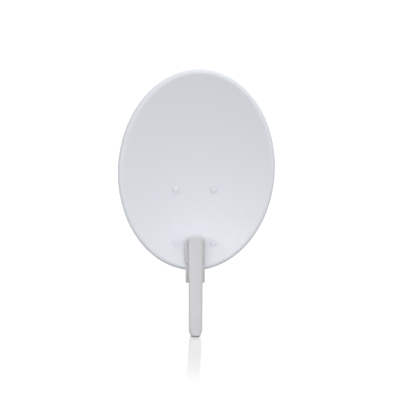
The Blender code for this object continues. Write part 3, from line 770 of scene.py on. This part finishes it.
def cover_rows(name, wide, proud):
    """(inset, height) rows of a cover, from its foot over its rounded edge to its middle.

    The window is crowned: its height grows by crown * (1 - (1 - inset / half width)^2). The door is
    flat inside a shallow groove.
    """
    turn = np.linspace(0, math.pi / 2, 7)
    edge = np.stack([COVER_EDGE * (1 - np.cos(turn)), proud - COVER_EDGE * (1 - np.sin(turn))], 1)
    middle = wide / 2 - 0.6 * MM
    if name == "cable_door":
        low = proud - DOOR_GROOVE
        groove = [(2.4 * MM, proud), (2.6 * MM, low), (3.2 * MM, low)]
        inset = np.linspace(3.4 * MM, middle, 5)
        face = np.concatenate([groove, np.stack([inset, np.full(len(inset), proud)], 1)])
    else:
        inset = np.linspace(1.4 * MM, middle, 8)
        face = np.stack([inset, proud + COVER_CROWN * (1 - (1 - inset / (wide / 2)) ** 2)], 1)
    return np.concatenate([[(0, GAP - COVER_DEPTH)], edge, face])


class ANTENNA_OT_arm_covers(bpy.types.Operator):
    """Build the feed window and the cable door on the arm's rear side"""

    bl_idname = "antenna.arm_covers"
    bl_label = "Build Arm Covers"
    bl_options = {"REGISTER", "UNDO"}

    def execute(self, context):
        scene = context.scene
        place, axes = arm_frame(scene)
        plastic = finishes(scene)["moulded_polycarbonate"]
        rear = axes * (1, -1, -1)
        for name, (wide, long, corner, y, proud) in COVERS.items():
            grid = outline_rows(wide, long, corner, cover_rows(name, wide, proud))
            at = place + axes @ (0, y, -scene.antenna_arm.depth / 2)
            piece = capped_grid(f"{name}_moulded", grid, plastic, (at, rear), smooth=50)
            dress(piece, "root", name)
        return {"FINISHED"}


# Sheet metal and the cradle

def softened(node, name, finish, radius):
    """A copy of a node's solid with its loose triangles merged and its edges rounded."""
    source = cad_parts[node]
    shape = bmesh.new()
    shape.from_mesh(source.data)
    bmesh.ops.remove_doubles(shape, verts=shape.verts, dist=MERGE)
    flat = math.radians(3)
    bmesh.ops.dissolve_limit(shape, angle_limit=flat, verts=shape.verts, edges=shape.edges)
    mesh = bpy.data.meshes.new(name)
    shape.to_mesh(mesh)
    shape.free()
    mesh.materials.clear()
    mesh.materials.append(finish)
    mesh.shade_smooth()
    mesh.set_sharp_from_angle(angle=math.radians(30))
    piece = bpy.data.objects.new(name, mesh)
    bpy.context.collection.objects.link(piece)
    edge = piece.modifiers.new("rounded_edges", "BEVEL")
    edge.width = radius
    edge.segments = 3
    edge.limit_method = "ANGLE"
    edge.angle_limit = math.radians(40)
    edge.use_clamp_overlap = True
    return dress(piece, "root", node)


class ANTENNA_OT_cradle(bpy.types.Operator):
    """Build the moulded cradle that holds the arm at the reflector's lower edge"""

    bl_idname = "antenna.cradle"
    bl_label = "Build Cradle"
    bl_options = {"REGISTER", "UNDO"}

    def execute(self, context):
        softened("feed_cradle", "cradle_moulded", finishes(context.scene)["moulded_asa"], SHEET_EDGE)
        return {"FINISHED"}


class ANTENNA_OT_brackets(bpy.types.Operator):
    """Build the tilt bracket and the mast bracket with their rounded sheet edges"""

    bl_idname = "antenna.brackets"
    bl_label = "Build Brackets"
    bl_options = {"REGISTER", "UNDO"}

    def execute(self, context):
        coat = finishes(context.scene)["bracket_powder_coat"]
        softened("tilt_bracket", "tilt_bracket_pressed", coat, SHEET_EDGE)
        softened("mast_bracket", "mast_bracket_pressed", coat, SHEET_EDGE)
        return {"FINISHED"}


# Fixings

class ANTENNA_OT_u_bolts(bpy.types.Operator):
    """Build the two U-bolts with their threaded legs"""

    bl_idname = "antenna.u_bolts"
    bl_label = "Build U-bolts"
    bl_options = {"REGISTER", "UNDO"}

    def execute(self, context):
        scene = context.scene
        sizes = scene.antenna_bracket
        zinc = finishes(scene)["bright_zinc"]
        reach = sizes.mast + sizes.rod + U_BOLT_PLAY
        leg = np.arange(-sizes.tail, sizes.mast, sizes.pitch / 8)
        arc = np.linspace(0, math.pi, 49)
        right = np.stack([np.full(leg.shape, reach), leg], 1)
        bend = np.stack([reach * np.cos(arc), sizes.mast + reach * np.sin(arc)], 1)
        path = np.concatenate([right, bend, right[::-1] * (-1, 1)])
        along = np.gradient(path, axis=0)
        along /= np.linalg.norm(along, axis=1, keepdims=True)
        turn = full_turn(20)
        step = np.linalg.norm(np.diff(path, axis=0, prepend=path[:1]), axis=1).cumsum()
        from_end = np.minimum(step, step[-1] - step)[:, None]
        phase = (step[:, None] / sizes.pitch - turn / (2 * math.pi)) % 1
        cut = THREAD_DEPTH * np.abs(2 * phase - 1) * (from_end < U_BOLT_THREAD)
        tip = POINT * np.clip(1 - from_end / POINT, 0, 1)
        radius = (sizes.rod - cut - tip)[:, :, None]
        inward = np.stack([-along[:, 1], along[:, 0], np.zeros(len(path))], 1)[:, None]
        spoke = inward * np.cos(turn)[None, :, None] + np.array((0, 0, 1)) * np.sin(turn)[None, :, None]
        middle = np.concatenate([path, np.zeros((len(path), 1))], 1)[:, None]
        for name, height in (("upper", sizes.u_bolt_z), ("lower", -sizes.u_bolt_z)):
            grid = middle + radius * spoke + np.array((0, 0, height))
            piece = capped_grid(f"u_bolt_{name}_bent", grid, zinc, ROW_FRAME, smooth=40)
            dress(piece, "root", f"u_bolt_{name}")
        return {"FINISHED"}


def seat_of(node, direction):
    """(point on a turned node's axis at its low end, its length), looking along a direction."""
    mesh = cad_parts[node].data
    points = np.empty(len(mesh.vertices) * 3, np.float32)
    mesh.vertices.foreach_get("co", points)
    points = points.reshape(-1, 3).astype(float)
    turn = axis_turn(direction)
    local = points @ turn
    low, high = local.min(axis=0), local.max(axis=0)
    return turn @ ((low[0] + high[0]) / 2, (low[1] + high[1]) / 2, low[2]), high[2] - low[2]


def nut_grid(across, height, bore):
    """A flange nut: flange, hexagon cut by a 30 degree cone, and a chamfered bore."""
    flange = across * 0.66
    half = across / 2
    ease, corner, thick = 0.5 * MM, 0.3 * MM, 1 * MM
    foot = [(bore, ease), (bore + ease, 0), (flange - corner, 0), (flange, corner), (flange, thick)]
    slope = [(half + 0.9 * MM, 1.8 * MM)]
    sides = column(half, np.linspace(2 * MM, height, 14))
    top = [(half * 0.96, height), (bore + ease, height), (bore, height - ease)]
    profile = np.concatenate([foot, slope, sides, top])
    hexes = range(len(foot) + 1, len(foot) + 1 + len(sides))
    return turned_grid(profile, 72, hexes, chamfer=(half * 0.98, height))


def washer_grid(bore):
    """A washer with its outer edges chamfered."""
    wide, thick, ease = 8.5 * MM, 1.6 * MM, 0.25 * MM
    foot = [(bore, 0), (wide - ease, 0), (wide, ease)]
    return turned_grid(foot + [(wide, thick - ease), (wide - ease, thick), (bore, thick)], 48)


def spacer_grid(long):
    """A spacer that narrows from its foot to its end, with both outer edges chamfered."""
    bore, wide, narrow, ease = 3.4 * MM, 9 * MM, 7 * MM, 0.6 * MM
    foot = [(bore, 0), (wide - ease, 0), (wide, ease)]
    end = [(narrow + 0.3 * MM, long - ease), (narrow - ease, long), (bore, long)]
    return turned_grid(foot + end, 48)


class ANTENNA_OT_fixings(bpy.types.Operator):
    """Build the nuts, washers, cross bolts, lock screw and spacers"""

    bl_idname = "antenna.fixings"
    bl_label = "Build Fixings"
    bl_options = {"REGISTER", "UNDO"}

    def turned_ring(self, node, grid, direction, finish):
        """A ring whose grid starts at height zero, set on its node's low end."""
        seat, _ = seat_of(node, direction)
        piece = ring_piece(f"{node}_turned", along_axis(grid, direction, seat), finish, smooth=32)
        dress(piece, "root", node)

    def hex_bolt(self, node, direction, finish, half, head, shank, pitch):
        """A hexagon head with its cone under the far side, then a shank that is threaded at its end.

        The head's radius is the smaller of the hexagon's and the cone's, half * 0.98 + z / tan 30.
        """
        seat, long = seat_of(node, direction)
        sides = column(half, np.linspace(0, head, 12))
        body = column(shank, np.arange(head, long - POINT, pitch / 8))
        profile = np.concatenate([[(half * 0.9, 0)], sides, body, [(shank - POINT, long)]])
        thread = (long - HEX_THREAD, long - THREAD_RUNOUT, pitch, THREAD_DEPTH)
        grid = turned_grid(profile, 48, thread=thread)
        turn = full_turn(48)
        rows = slice(1, 1 + len(sides))
        cone = half * 0.98 + grid[rows, :, 2] / math.tan(math.radians(30))
        reach = np.minimum(hexagon(half, turn), cone)
        grid[rows, :, 0] = reach * np.cos(turn)
        grid[rows, :, 1] = reach * np.sin(turn)
        points = along_axis(grid, direction, seat)
        piece = capped_grid(f"{node}_turned", points, finish, ROW_FRAME, smooth=32)
        dress(piece, "root", node)

    def execute(self, context):
        scene = context.scene
        sizes = scene.antenna_bracket
        made = finishes(scene)
        zinc, nylon = made["bright_zinc"], made["moulded_nylon"]
        plate_rear = -plate_frame(scene)[1][:, 2]
        arm_front = arm_frame(scene)[1][:, 2]
        m8 = sizes.rod + GAP
        large_bolt = {"half": 6.5 * MM, "head": 5.3 * MM, "shank": sizes.rod, "pitch": sizes.pitch}
        small_bolt = {"half": 5 * MM, "head": 4 * MM, "shank": 3 * MM, "pitch": 1 * MM}
        small_nut = nut_grid(across=8 * MM, height=5 * MM, bore=2.8 * MM)
        middle_nut = nut_grid(across=10 * MM, height=6 * MM, bore=3.4 * MM)
        large_nut = nut_grid(across=13 * MM, height=8 * MM, bore=m8)
        for corner in ("upper_left", "upper_right", "lower_left", "lower_right"):
            self.turned_ring(f"bolt_nut_{corner}", middle_nut, plate_rear, zinc)
            self.turned_ring(f"u_bolt_nut_{corner}", large_nut, (0, -1, 0), zinc)
            _, long = seat_of(f"spacer_{corner}", -plate_rear)
            self.turned_ring(f"spacer_{corner}", spacer_grid(long), -plate_rear, nylon)
        for name in ("upper", "lower"):
            self.turned_ring(f"cradle_nut_{name}", small_nut, -arm_front, zinc)
        for name in ("pivot", "lock"):
            self.turned_ring(f"{name}_nut", large_nut, (1, 0, 0), zinc)
            self.hex_bolt(f"{name}_bolt", (1, 0, 0), zinc, **large_bolt)
            for side, way in (("left", -1), ("right", 1)):
                self.turned_ring(f"{name}_washer_{side}", washer_grid(m8), (way, 0, 0), zinc)
        self.hex_bolt("arm_lock_screw", arm_front, zinc, **small_bolt)
        for name in ("upper", "lower"):
            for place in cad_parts[f"cradle_screw_{name}"].material_slots:
                place.material = zinc
        return {"FINISHED"}


# Stage

def studio_world(strength, backdrop, left_share):
    """A white surround: brighter behind the object, dim below the horizon and at the left.

    Its strength is a product of three smooth steps, one along each axis of the direction.
    """
    world = bpy.data.worlds.new("studio_surround")
    world.use_nodes = True
    tree = world.node_tree
    tree.nodes.clear()
    place = add_node(tree, "ShaderNodeTexCoord").outputs["Generated"]
    toward = add_node(tree, "ShaderNodeSeparateXYZ", {"Vector": place}).outputs
    smooth = {"interpolation_type": "SMOOTHSTEP"}
    power = 1.0
    for axis, start, end, low, high in (
        ("Z", -0.15, 0.1, 0.3, 1.0),
        ("Y", 0.3, 0.9, strength, backdrop),
        ("X", -1.0, -0.5, left_share, 1.0),
    ):
        inputs = {"Value": toward[axis], "From Min": start, "From Max": end, "To Min": low, "To Max": high}
        share = add_node(tree, "ShaderNodeMapRange", inputs, **smooth).outputs["Result"]
        inputs = {0: power, 1: share}
        power = add_node(tree, "ShaderNodeMath", inputs, operation="MULTIPLY").outputs["Value"]
    shade = add_node(tree, "ShaderNodeBackground", {"Color": (1, 1, 1, 1), "Strength": power})
    add_node(tree, "ShaderNodeOutputWorld", {"Surface": shade.outputs["Background"]})
    bpy.context.scene.world = world


def soft_light(name, place, target, power, side, spread=math.pi):
    """A square light aimed at a point."""
    lamp = bpy.data.lights.new(name, "AREA")
    lamp.shape = "SQUARE"
    lamp.size = side
    lamp.energy = power
    lamp.spread = spread
    light = bpy.data.objects.new(name, lamp)
    bpy.context.collection.objects.link(light)
    light.location = place
    light.rotation_euler = (Vector(target) - Vector(place)).to_track_quat("-Z", "Y").to_euler()


class ANTENNA_OT_stage(bpy.types.Operator):
    """Set up the pale floor, the soft lights and the camera"""

    bl_idname = "antenna.stage"
    bl_label = "Set Up Stage"
    bl_options = {"REGISTER", "UNDO"}

    def execute(self, context):
        scene = context.scene
        stage = scene.antenna_stage
        rim = Vector(rim_frame(scene)[0])
        low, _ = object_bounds()
        far = FLOOR_HALF_SIDE
        corners = [(-far, -far, low.z), (far, -far, low.z), (far, far, low.z), (-far, far, low.z)]
        quad = np.array([(0, 1, 2, 3)])
        floor = add_piece("studio_floor", corners, [quad], finishes(scene)["white_acrylic"])
        floor.visible_diffuse = False
        floor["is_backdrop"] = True
        studio_world(stage.sky, stage.backdrop, stage.left)
        for name, place, power, side in (
            ("overhead_light", (0.4, -1.6, 2.6), stage.overhead, 3.0),
            ("front_light", (0.0, -3.4, 0.2), stage.fill, 2.4),
            ("side_light", (-2.6, -2.4, -0.2), stage.side, 1.6),
        ):
            soft_light(name, rim + Vector(place), rim, power, side)
        arm = rim + Vector((0.0, -0.03, -0.29))
        soft_light("arm_light", rim + Vector((-2.4, -0.6, 0.75)), arm, stage.accent, 0.3, stage.beam)
        self.camera(scene, stage, rim)
        scene.view_settings.view_transform = "Standard"
        return {"FINISHED"}

    def camera(self, scene, stage, rim):
        """Stands the camera so that the rim's centre falls where the photograph shows it."""
        a, e = stage.azimuth, stage.elevation
        back = Vector((math.sin(a) * math.cos(e), -math.cos(a) * math.cos(e), math.sin(e)))
        turned = (-back).to_track_quat("-Z", "Y").to_matrix() @ Matrix.Rotation(stage.roll, 3, "Z")
        right, up = turned.col[0], turned.col[1]
        shift_x = (PHOTO_SIZE / 2 - PHOTO_RIM_CENTRE[0]) * MM_PER_PIXEL * MM
        shift_y = (PHOTO_SIZE / 2 - PHOTO_RIM_CENTRE[1]) * MM_PER_PIXEL * MM
        target = rim + right * shift_x - up * shift_y
        lens = bpy.data.cameras.new("photo_camera")
        lens.lens = lens.sensor_width * stage.distance / (PHOTO_SIZE * MM_PER_PIXEL * MM)
        lens.clip_end = 200
        camera = bpy.data.objects.new("photo_camera", lens)
        bpy.context.collection.objects.link(camera)
        camera.matrix_world = Matrix.Translation(target + back * stage.distance) @ turned.to_4x4()
        scene.camera = camera


MAKERS = (
    ANTENNA_OT_reflector,
    ANTENNA_OT_carriage_bolts,
    ANTENNA_OT_feed_arm,
    ANTENNA_OT_arm_covers,
    ANTENNA_OT_cradle,
    ANTENNA_OT_brackets,
    ANTENNA_OT_u_bolts,
    ANTENNA_OT_fixings,
    ANTENNA_OT_stage,
)


class ANTENNA_PT_panel(bpy.types.Panel):
    """Lists the sizes and the steps that build the antenna"""

    bl_label = "Offset Dish Antenna"
    bl_idname = "ANTENNA_PT_panel"
    bl_space_type = "VIEW_3D"
    bl_region_type = "UI"
    bl_category = "Antenna"

    def draw(self, context):
        for maker in MAKERS:
            self.layout.operator(maker.bl_idname)
        for name, group in GROUPS.items():
            box = self.layout.box()
            box.label(text=group.__name__)
            for setting in group.__annotations__:
                box.prop(getattr(context.scene, name), setting)


def register():
    """Registers the classes and gives the scene its settings."""
    for made in (*GROUPS.values(), *MAKERS, ANTENNA_PT_panel):
        bpy.utils.register_class(made)
    for name, group in GROUPS.items():
        setattr(bpy.types.Scene, name, PointerProperty(type=group))


def unregister():
    """Takes the settings and the classes away again."""
    for name in GROUPS:
        delattr(bpy.types.Scene, name)
    for made in (ANTENNA_PT_panel, *reversed(MAKERS), *reversed(GROUPS.values())):
        bpy.utils.unregister_class(made)


def main():
    """Builds everything in order."""
    register()
    for make in MAKERS:
        getattr(bpy.ops.antenna, make.bl_idname.split(".")[1])()


if __name__ == "__main__":
    main()
